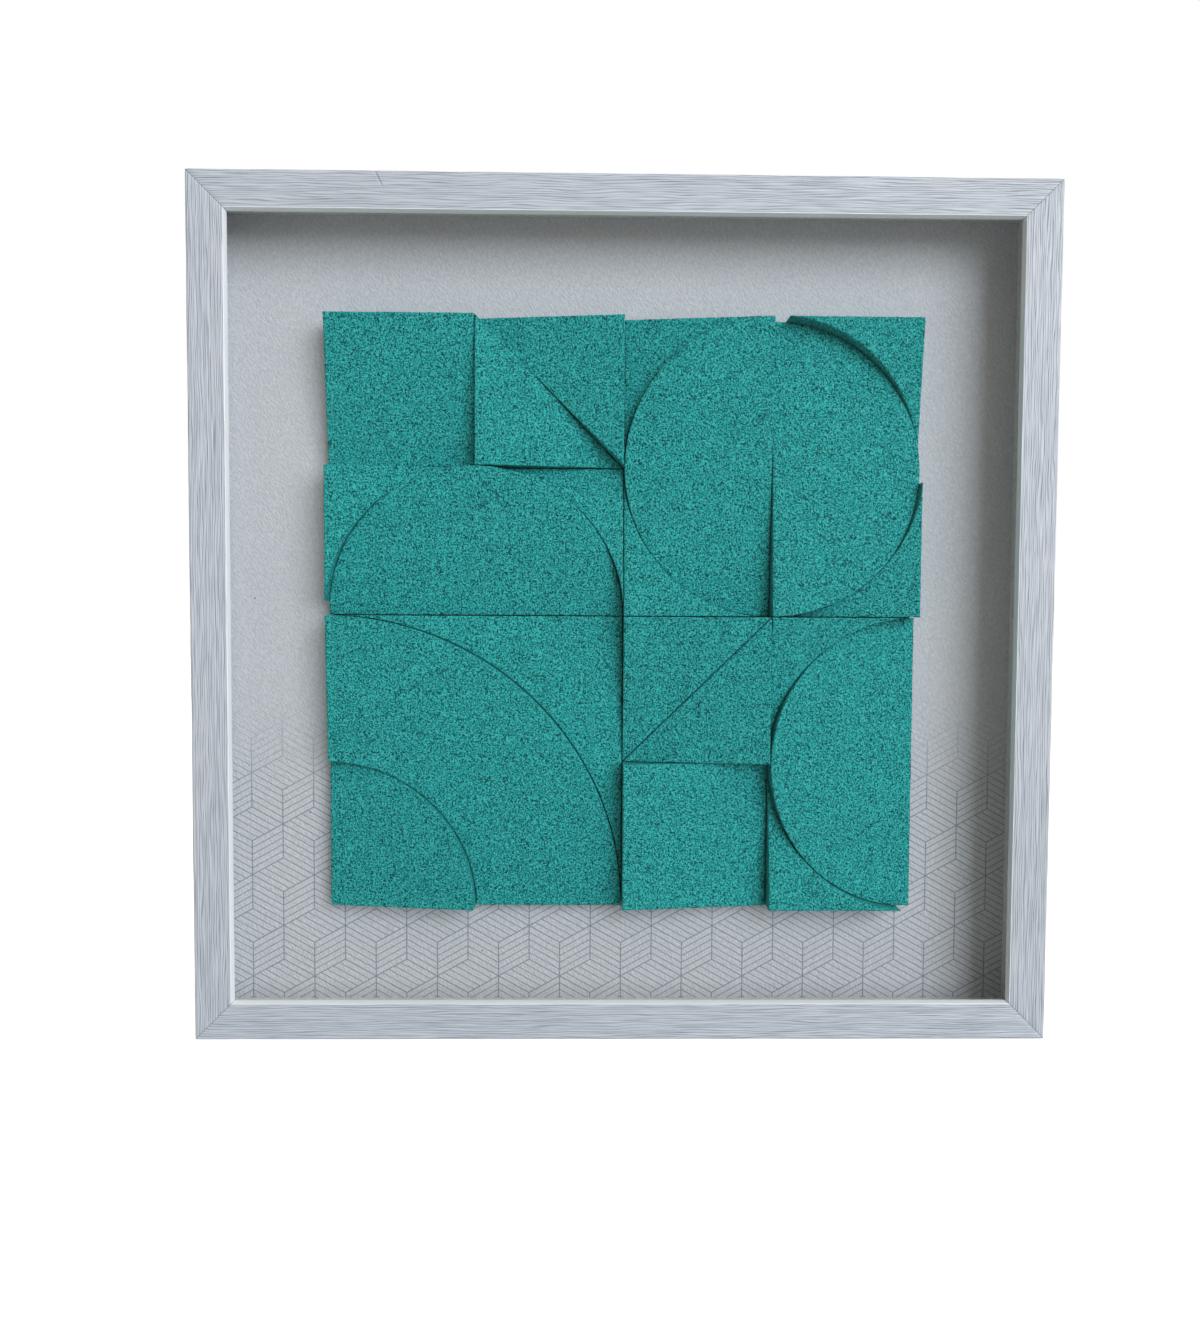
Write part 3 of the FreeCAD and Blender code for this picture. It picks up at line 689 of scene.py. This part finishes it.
@dataclass
class FoiledRail:
    """One mitred rail with its grained face, smooth bevel, lip and rebate.

    Attributes:
        name: The rail's node.
        side: Which side of the frame it is.
        seed: Picks its grain.
        nick: Middle of a small nick along the rail in mm, or None.
        sway: The grain's slow drift: its reach, and its cell along and across, in mm.
        ripple: The same for its quick drift.
        vein: Cell of the grain's lines along and across in mm.
        force: Cell of their changing depth along and across in mm.
    """

    name: str
    side: Side
    seed: int
    nick: float | None = None
    face: float = 17.0
    lip: float = 17.8
    bevel_drop: float = 2.5
    bevel_parts: tuple[float, ...] = (0.06, 0.3, 0.6, 0.94)
    lip_back: float = 3.5
    wall: float = 5.5
    rounding: float = 0.8
    line_spacing: float = 0.34
    side_spacing: float = 0.5
    station_spacing: float = 1.8
    groove_depth: float = 0.2
    sway: Triple = (3.0, 62.0, 9.0)
    ripple: Triple = (0.8, 15.0, 3.0)
    vein: Pair = (16.0, 0.66)
    force: Pair = (21.0, 5.0)
    mitre_width: float = 0.3
    mitre_depth: float = 0.22
    nick_width: float = 0.32
    nick_slant: float = -0.46
    nick_length: float = 7.5
    nick_fade: float = 1.5
    nick_depth: float = 0.35
    nick_reach: float = 5.0
    nick_stations: int = 41

    def section(self) -> tuple[Array, Array]:
        """Lists the section's points, from the back edge round the front to the back again.

        Returns:
            Rows of inward place and depth, and how much grain each point has.
        """
        r = self.rounding
        turn = np.radians([0, 22.5, 45, 67.5, 90])
        back = [(r - r * math.sin(a), FRAME_DEPTH - r + r * math.cos(a)) for a in turn]
        sides = round((FRAME_DEPTH - 2 * r) / self.side_spacing)
        outer = [(0.0, d) for d in np.linspace(FRAME_DEPTH - r, r, sides)[1:-1]]
        front = [(r - r * math.cos(a), r - r * math.sin(a)) for a in turn]
        count = round((self.face - r) / self.line_spacing)
        face = [(w, 0.0) for w in np.linspace(r, self.face - 0.25, count)[1:]]
        run = self.lip - self.face
        bevel = [(self.face + run * p, self.bevel_drop * p) for p in self.bevel_parts]
        edge = [(self.lip, self.bevel_drop + 0.2), (self.lip, self.lip_back - 0.15)]
        rest = [
            (self.lip - 0.15, self.lip_back),
            (self.wall, self.lip_back),
            (self.wall, FRAME_DEPTH),
        ]
        grained = len(back) + len(outer) + len(front) + len(face)
        points = np.array(back + outer + front + face + bevel + edge + rest)
        grain = np.zeros(len(points))
        grain[:grained] = 1.0
        return points, grain

    def stations(self) -> Array:
        """Lists the stations along the rail.

        Returns:
            Places from -1 to 1, closer together at the nick.
        """
        count = round(FRAME_SIDE / self.station_spacing)
        places = np.linspace(-1, 1, count)
        if self.nick is not None:
            ends = self.nick - self.nick_reach, self.nick + self.nick_reach
            near = np.linspace(*ends, self.nick_stations) / FRAME_HALF
            places = np.concatenate([places, near])
        return np.unique(np.round(places, 6))

    def grooves(self, along: Array, across: Array) -> Array:
        """Works out the embossed grain.

        Args:
            along: Place along the rail in mm.
            across: Place across the foil in mm.

        Returns:
            Depth of the grain from 0 to 1.
        """
        drift = 0.0
        for step, (reach, length, width) in enumerate((self.sway, self.ripple)):
            drift += reach * cell_noise(self.seed + step, along / length, across / width)
        length, width = self.vein
        lines = cell_noise(self.seed + 2, (across + drift) / width, along / length)
        length, width = self.force
        force = 0.5 + 0.5 * cell_noise(self.seed + 3, along / length, across / width)
        return step_between(lines, 0.3, 0.85) * force

    def make(self) -> Piece:
        """Builds the rail's mesh.

        Returns:
            The new piece.
        """
        section, grain = self.section()
        stations = self.stations()
        steps = np.linalg.norm(np.diff(section, axis=0), axis=1)
        across = np.concatenate([[0.0], np.cumsum(steps)])
        ahead = np.roll(section, -1, axis=0) - np.roll(section, 1, axis=0)
        outward = np.stack([ahead[:, 1], -ahead[:, 0]], axis=1)
        outward /= np.linalg.norm(outward, axis=1, keepdims=True)
        place, inward = np.meshgrid(stations, section[:, 0], indexing="ij")
        along = place * (FRAME_HALF - inward)
        cross = np.broadcast_to(across, along.shape)
        groove = self.grooves(along, cross) * grain
        sunk = self.groove_depth * groove + self.mitre_dip(along, inward, grain)
        if self.nick is not None:
            line = along - self.nick - self.nick_slant * inward
            front = (section[:, 1] < self.rounding) * grain
            start = self.nick_length - self.nick_fade
            reach = 1 - step_between(inward, start, self.nick_length)
            cut = np.exp(-((line / self.nick_width) ** 2)) * reach * front
            sunk = sunk + self.nick_depth * cut
            groove = np.maximum(groove, 1.6 * cut)
        lie = section[:, 0] - outward[:, 0] * sunk
        deep = section[:, 1] - outward[:, 1] * sunk
        (x, z), long_way, in_way = self.side.value
        x = x + long_way[0] * along + in_way[0] * lie
        z = z + long_way[1] * along + in_way[1] * lie
        points = np.stack([x, deep - FRAME_DEPTH / 2, z], axis=-1).reshape(-1, 3)
        piece = new_piece(self.name + "_foiled", points, self.skin(len(stations), len(section)))
        flat = np.stack([along, cross, np.full_like(along, self.seed * 7.0)], axis=-1)
        store(piece.data, "grain_place", flat.reshape(-1, 3))
        store(piece.data, "groove", groove.ravel())
        self.assign(piece, len(grain), int(grain.sum()))
        return piece

    def mitre_dip(self, along: Array, inward: Array, grain: Array) -> Array:
        """Eases the face down beside each mitre, so the joint shows as a fine groove."""
        gap = (FRAME_HALF - inward - np.abs(along)) / self.mitre_width
        return self.mitre_depth * np.exp(-(gap**2)) * np.minimum(grain + 0.5, 1.0)

    @staticmethod
    def skin(count: int, around: int) -> list:
        """Lists the faces of a closed bar.

        Args:
            count: Number of stations.
            around: Number of points in the section.

        Returns:
            Quads between the stations, and one face at each end.
        """
        faces = []
        for i in range(count - 1):
            for j in range(around):
                k = (j + 1) % around
                low, high = i * around, (i + 1) * around
                faces.append((low + j, low + k, high + k, high + j))
        faces.append(tuple(range(around)))
        faces.append(tuple(range((count - 1) * around, count * around)))
        return faces

    def assign(self, piece: Piece, around: int, grained: int) -> None:
        """Gives the grained faces, the lip and the bare board their materials.

        Args:
            piece: The rail.
            around: Number of points in the section.
            grained: How many of them are grained.
        """
        for finish in (WoodGrainFoil(), SmoothLipFoil(), PressedBoard(BoardKind.FIBREBOARD)):
            piece.data.materials.append(shared(finish))
        lip_end = around - 3
        for polygon in piece.data.polygons:
            corners = [v % around for v in polygon.vertices]
            skin = Skin.BARE
            if len(corners) <= 4 and max(corners) < around - 1:
                if min(corners) < grained - 1 and max(corners) < grained:
                    skin = Skin.GRAINED
                elif max(corners) <= lip_end:
                    skin = Skin.SMOOTH
            polygon.material_index = skin


_materials: dict = {}


def shared(finish: Finish) -> Material:
    """Returns a finish's material, made once.

    Args:
        finish: One of the finish classes.

    Returns:
        The material that all pieces with this finish have.
    """
    if finish not in _materials:
        _materials[finish] = finish.make()
    return _materials[finish]


@dataclass
class CoatedBlock:
    """One block of the relief: its outline and slope come from its node, its coat is modelled.

    Attributes:
        name: The block's node.
        seed: Picks its grains.
    """

    name: str
    seed: int
    underside: float = 9.0
    spacing: float = 0.78
    row_step: float = 0.866
    scatter: float = 0.22
    clearance: float = 0.55
    rim: float = 0.28
    lump: float = 0.3
    wall_rings: int = 7
    coarse: float = 1.5
    fine: float = 0.8
    wall_grain: float = 1.4
    wall_relief: float = 0.16

    def outline(self) -> Array:
        """Reads the outline of the block's underside from its node.

        Returns:
            Rows of x and z in mm, in order round the block.
        """
        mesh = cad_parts[self.name].data
        place = np.array([v.co for v in mesh.vertices]) / MM
        key = [tuple(np.round(p, 3)) for p in place]
        count: dict = {}
        mesh.calc_loop_triangles()
        for triangle in mesh.loop_triangles:
            corners = [key[v] for v in triangle.vertices]
            if all(abs(c[1] - self.underside) < 0.01 for c in corners):
                for a, b in zip(corners, corners[1:] + corners[:1]):
                    count[(a, b)] = count.get((a, b), 0) + 1
        following = {a: b for (a, b) in count if (b, a) not in count}
        start = next(iter(following))
        ring = [start]
        while following[ring[-1]] != start:
            ring.append(following[ring[-1]])
        loop = np.array([(c[0], c[2]) for c in ring])
        turn = np.roll(loop, -1, axis=0)
        area = np.sum(loop[:, 0] * turn[:, 1] - turn[:, 0] * loop[:, 1])
        return loop if area > 0 else loop[::-1]

    def slope(self) -> Array:
        """Fits the plane of the block's face.

        Returns:
            Factors of x, z and 1 that give the face's y in mm.
        """
        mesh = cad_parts[self.name].data
        place = np.array([v.co for v in mesh.vertices]) / MM
        top = place[place[:, 1] < self.underside - 0.01]
        rows = np.stack([top[:, 0], top[:, 2], np.ones(len(top))], axis=1)
        return np.linalg.lstsq(rows, top[:, 1], rcond=None)[0]

    def divided(self, loop: Array) -> Array:
        """Divides an outline's long sides into short ones.

        Args:
            loop: The outline.

        Returns:
            The same outline with more points.
        """
        out = []
        for a, b in zip(loop, np.roll(loop, -1, axis=0)):
            parts = max(1, math.ceil(np.linalg.norm(b - a) / self.spacing))
            out.extend(a + (b - a) * i / parts for i in range(parts))
        return np.array(out)

    @staticmethod
    def inward_ways(loop: Array) -> Array:
        """Works out the inward way at each point of an outline that runs left about.

        Args:
            loop: The outline.

        Returns:
            One row of x and z for each point, longer at sharp corners.
        """
        ahead = np.roll(loop, -1, axis=0) - loop
        ahead /= np.linalg.norm(ahead, axis=1, keepdims=True)
        behind = np.roll(ahead, 1, axis=0)
        normal = np.stack([-(ahead + behind)[:, 1], (ahead + behind)[:, 0]], axis=1)
        size = np.maximum(np.linalg.norm(normal, axis=1, keepdims=True), 0.05)
        normal /= size
        cosine = np.abs(np.sum(normal * np.stack([-ahead[:, 1], ahead[:, 0]], axis=1), axis=1))
        return normal / np.maximum(cosine, 0.5)[:, None]

    @staticmethod
    def room(loop: Array, ways: Array) -> Array:
        """Measures how far each point of an outline can go inward before it meets the far side.

        Args:
            loop: The outline.
            ways: The inward way at each point.

        Returns:
            The distance to the outline along each way.
        """
        tail = np.roll(loop, -1, axis=0) - loop
        distance = np.full(len(loop), 1e3)
        for index, (start, way) in enumerate(zip(loop, ways)):
            gap = loop - start
            cross = way[0] * tail[:, 1] - way[1] * tail[:, 0]
            cross = np.where(np.abs(cross) < 1e-9, 1e-9, cross)
            run = (gap[:, 0] * tail[:, 1] - gap[:, 1] * tail[:, 0]) / cross
            part = (gap[:, 0] * way[1] - gap[:, 1] * way[0]) / cross
            hit = (part >= 0) & (part <= 1) & (run > 1e-4)
            if hit.any():
                distance[index] = run[hit].min()
        return distance

    def lattice(self, loop: Array) -> Array:
        """Scatters points over the face, a little uneven, and clear of the outline.

        Args:
            loop: The face's outline.

        Returns:
            Rows of x and z in mm.
        """
        random = np.random.default_rng(self.seed)
        low, high = loop.min(axis=0), loop.max(axis=0)
        rows = np.arange(low[1], high[1], self.spacing * self.row_step)
        columns = np.arange(low[0], high[0], self.spacing)
        x, z = np.meshgrid(columns, rows)
        x = x + (np.arange(len(rows)) % 2)[:, None] * self.spacing / 2
        points = np.stack([x.ravel(), z.ravel()], axis=1)
        points += random.uniform(-self.scatter, self.scatter, points.shape) * self.spacing
        ends = np.roll(loop, -1, axis=0)
        inside = np.zeros(len(points), bool)
        clear = np.full(len(points), 1e9)
        for (ax, az), (bx, bz) in zip(loop, ends):
            crosses = (az > points[:, 1]) != (bz > points[:, 1])
            if bz != az:
                at = ax + (points[:, 1] - az) * (bx - ax) / (bz - az)
                inside ^= crosses & (points[:, 0] < at)
            clear = np.minimum(clear, (points[:, 0] - ax) ** 2 + (points[:, 1] - az) ** 2)
        return points[inside & (clear > (self.clearance * self.spacing) ** 2)]

    def make(self) -> Piece:
        """Builds the block's mesh.

        Returns:
            The new piece.
        """
        loop = self.divided(self.outline())
        ways = self.inward_ways(loop)
        room = self.room(loop, ways)
        inset = np.minimum(self.rim, 0.3 * room)
        edge = loop + ways * inset[:, None]
        inner = self.lattice(edge)
        count = len(loop)
        flat = [Vector(p) for p in np.concatenate([edge, inner])]
        ring = [(i, (i + 1) % count) for i in range(count)]
        made, _, triangles, origins, _, _ = delaunay_2d_cdt(flat, ring, [], 1, 1e-6)
        first = {}
        for index, sources in enumerate(origins):
            for source in sources:
                first[source] = index
        x, z = np.array([tuple(p) for p in made]).T
        a, b, c = self.slope()
        front = np.stack([x, a * x + b * z + c - self.lumps(x, z), z], axis=1)
        rings = self.walls(loop, ways, inset)
        points = np.concatenate([front] + rings)
        faces = [tuple(t) for t in triangles]
        base = len(front)
        top = [first[i] for i in range(count)]
        for level in range(len(rings)):
            lower = [base + level * count + i for i in range(count)]
            for i in range(count):
                j = (i + 1) % count
                faces.append((top[i], top[j], lower[j], lower[i]))
            top = lower
        faces.append(tuple(top))
        piece = new_piece(self.name + "_coated", points, faces, sharp=60.0)
        piece.data.materials.append(shared(GranularCoat()))
        return piece

    def lumps(self, x: Array, z: Array) -> Array:
        """Works out the lumps of the coat.

        Args:
            x: Places across in mm.
            z: Places up in mm.

        Returns:
            How far the coat stands out at each place, in mm.
        """
        coarse = cell_noise(self.seed + 10, x / self.coarse, z / self.coarse)
        fine = cell_noise(self.seed + 20, x / self.fine, z / self.fine)
        return self.lump * (0.7 * coarse + 0.6 * fine - 0.8)

    def walls(self, loop: Array, ways: Array, inset: Array) -> list:
        """Builds the rings of points down the block's walls.

        Args:
            loop: The outline.
            ways: The inward way at each point.
            inset: How far the rim is rounded at each point.

        Returns:
            One array of points for each ring, from the rim down to the underside.
        """
        a, b, c = self.slope()
        rim = a * loop[:, 0] + b * loop[:, 1] + c + inset
        run = np.concatenate([[0], np.cumsum(np.linalg.norm(np.diff(loop, axis=0), axis=1))])
        rings = []
        for level in range(self.wall_rings):
            part = level / (self.wall_rings - 1)
            y = rim + (self.underside - rim) * part
            rough = cell_noise(self.seed + 30, run / self.wall_grain, y / self.wall_grain)
            pull = np.minimum(self.wall_relief * rough, 0.5 * inset)
            pulled = loop + ways * pull[:, None]
            rings.append(np.stack([pulled[:, 0], y, pulled[:, 1]], axis=1))
        return rings


# Sub-assemblies


@dataclass
class DrivenNails:
    """The framing nails. Their heads stand a little out of the rails' backs, and so show there."""

    name: str = "corner_nails"
    proud: float = 0.18

    def make(self) -> Piece:
        """Builds the nails from their node.

        Returns:
            The new piece.
        """
        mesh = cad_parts[self.name].data.copy()
        mesh.name = self.name + "_driven"
        back = (FRAME_DEPTH / 2 - 0.01) * MM
        for vertex in mesh.vertices:
            if vertex.co.y > back:
                vertex.co.y += self.proud * MM
        mesh.materials.clear()
        mesh.materials.append(shared(ZincPlatedSteel()))
        return put_in(mesh.name, mesh)


@dataclass
class BoxFrame:
    """The four foiled rails and the framing nails across their mitres."""

    nick_place: float = 114.4

    def build(self) -> None:
        """Builds the rails and the nails."""
        rails = (
            FoiledRail("rail_bottom", Side.BOTTOM, 11),
            FoiledRail("rail_right", Side.RIGHT, 21),
            FoiledRail("rail_top", Side.TOP, 31, nick=self.nick_place),
            FoiledRail("rail_left", Side.LEFT, 41),
        )
        for rail in rails:
            register(rail.make(), rail.name)
        nails = DrivenNails()
        register(nails.make(), nails.name)


@dataclass
class Glazing:
    """The pane and the spacers that hold it off the backing."""

    spacers: tuple[str, ...] = ("spacer_top", "spacer_bottom", "spacer_left", "spacer_right")

    def build(self) -> None:
        """Dresses the pane and the spacers."""
        dress("glass_pane", PictureGlass())
        for name in self.spacers:
            dress(name, PressedBoard(BoardKind.SPACER))


@dataclass
class Backing:
    """The printed sheet, the board behind it, and what holds and hangs them."""

    steel: tuple[str, ...] = ("retaining_tabs", "sawtooth_hanger", "hanger_rivets")

    def build(self) -> None:
        """Dresses the sheet, the board and the steel pieces."""
        dress("backing_paper", PrintedLeatherPaper())
        dress("backing_board", ScreenedHardboard())
        for name in self.steel:
            dress(name, ZincPlatedSteel())


@dataclass
class Relief:
    """The carrier board and the coated blocks on it."""

    prefix: str = "relief_"
    carrier: str = "relief_carrier"
    first_seed: int = 100
    seed_step: int = 7

    def build(self) -> None:
        """Builds the blocks and dresses the carrier."""
        dress(self.carrier, PressedBoard(BoardKind.CARRIER))
        blocks = (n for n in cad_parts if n.startswith(self.prefix))
        names = sorted(n for n in blocks if n != self.carrier)
        for index, name in enumerate(names):
            block = CoatedBlock(name, self.first_seed + self.seed_step * index)
            register(block.make(), name)


def register(piece: Piece, node: str) -> None:
    """Lets a piece ride on the one body in its node's place, and reports it.

    Args:
        piece: The new piece.
        node: The node that it replaces.
    """
    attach(piece, "root")
    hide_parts(node)
    log.info("%s: %d faces", piece.name, len(piece.data.polygons))


def dress(name: str, finish: Finish) -> None:
    """Gives a node of the frame its finish.

    Args:
        name: The node.
        finish: One of the finish classes.
    """
    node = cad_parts[name]
    node.data.materials.clear()
    node.data.materials.append(shared(finish))
    log.info("%s: dressed as %s", name, node.data.materials[0].name)


@dataclass
class Studio:
    """The floor, the pale surroundings, the lamps and the camera."""

    camera_place: Triple = (-18.83, -505.59, 200.62)
    camera_turn: Triple = (87.421, -0.303, -0.869)
    lens: float = 28.64
    clip_start: float = 10.0
    floor_gap: float = 0.2
    floor_reach: float = 4000.0
    floor_colour: str = "#B4B4B4"
    floor_glow: float = 0.82
    ambient: float = 0.52
    ambient_right: float = 0.62
    ambient_up: float = 0.22
    ambient_back: float = 0.6
    ambient_least: float = 0.02
    ambient_colour: str = "#FFF0DA"
    key_colour: str = "#F4FAFF"
    key_place: Triple = (2750.0, -4700.0, 1950.0)
    key_size: Pair = (4200.0, 3900.0)
    key_power: float = 262.0

    def build(self) -> None:
        """Sets up everything round the object."""
        self.make_camera()
        self.make_floor()
        self.make_lamp()
        self.make_world()
        bpy.context.scene.view_settings.view_transform = "Standard"
        log.info("studio: camera, floor, lamp and surroundings")

    def make_camera(self) -> None:
        """Places the camera at the photograph's view."""
        data = bpy.data.cameras.new("camera")
        data.lens = self.lens
        data.clip_start = self.clip_start * MM
        camera = put_in("camera", data)
        camera.location = Vector(self.camera_place) * MM
        camera.rotation_euler = [math.radians(a) for a in self.camera_turn]
        bpy.context.scene.camera = camera

    def make_floor(self) -> None:
        """Lays the plain pale floor, which keeps the object's shadow."""
        reach = self.floor_reach * MM
        level = -self.floor_gap * MM
        turns = ((-reach, -reach), (reach, -reach), (reach, reach), (-reach, reach))
        corners = [(x, y, level) for x, y in turns]
        mesh = bpy.data.meshes.new("floor")
        mesh.from_pydata(corners, [], [(0, 1, 2, 3)])
        floor = put_in("floor", mesh)
        material, add = new_tree("white_floor")
        glow = add("Math", {0: self.seen(add), 1: self.floor_glow}, operation="MULTIPLY")
        matt = add("BsdfDiffuse", {"Color": linear(self.floor_colour)})
        white = add("Emission", {"Color": (1, 1, 1, 1), "Strength": glow})
        mixed = add("AddShader", {0: matt, 1: white})
        add("OutputMaterial", {"Surface": mixed})
        mesh.materials.append(material)

    @staticmethod
    def seen(add: Adder) -> Socket:
        """Tells what the eye sees straight, in gloss or through glass.

        Args:
            add: Adds a node.

        Returns:
            A socket that is 1 there.
        """
        rays = add("LightPath", out="Is Camera Ray")
        outputs = rays.node.outputs
        either = add("Math", {0: rays, 1: outputs["Is Glossy Ray"]}, operation="MAXIMUM")
        return add("Math", {0: either, 1: outputs["Is Transmission Ray"]}, operation="MAXIMUM")

    def make_lamp(self) -> None:
        """Hangs the soft window light, to the right and a little above."""
        data = bpy.data.lights.new("window_light", "AREA")
        data.shape = "RECTANGLE"
        data.size, data.size_y = (s * MM for s in self.key_size)
        data.energy = self.key_power
        data.color = linear(self.key_colour)[:3]
        lamp = put_in("window_light", data)
        lamp.location = Vector(self.key_place) * MM
        aim = Vector((0.0, 0.0, FRAME_HALF * MM)) - lamp.location
        lamp.rotation_euler = aim.to_track_quat("-Z", "Y").to_euler()

    def make_world(self) -> None:
        """Makes surroundings that light the object softly and look white.

        They are brighter to the right, and behind, where the lamp doesn't reach.
        """
        world = bpy.data.worlds.new("surroundings")
        world.use_nodes = True
        world.node_tree.nodes.clear()
        add = partial(add_node, world.node_tree)
        way = add("TexCoord", out="Generated")
        toward = self.ambient_right, 0.0, self.ambient_up
        more = add("VectorMath", {0: way, 1: toward}, out="Value", operation="DOT_PRODUCT")
        back = add("SeparateXYZ", {"Vector": way}, out=1)
        back = add("Math", {0: back, 1: 0.0}, operation="MAXIMUM")
        more = add("Math", {0: back, 1: self.ambient_back, 2: more}, operation="MULTIPLY_ADD")
        level = add("Math", {0: more, 1: self.ambient}, operation="ADD")
        level = add("Math", {0: level, 1: self.ambient_least}, operation="MAXIMUM")
        colour = linear(self.ambient_colour)
        soft = add("Background", {"Color": colour, "Strength": level})
        white = add("Background", {"Color": (1, 1, 1, 1), "Strength": 1.0})
        mixed = add("MixShader", {0: self.seen(add), 1: soft, 2: white})
        add("OutputWorld", {"Surface": mixed})
        bpy.context.scene.world = world


def main() -> None:
    """Builds the sub-assemblies in order and reports each piece."""
    Studio().build()
    for part in (BoxFrame(), Glazing(), Backing(), Relief()):
        part.build()


if __name__ == "__main__":
    main()
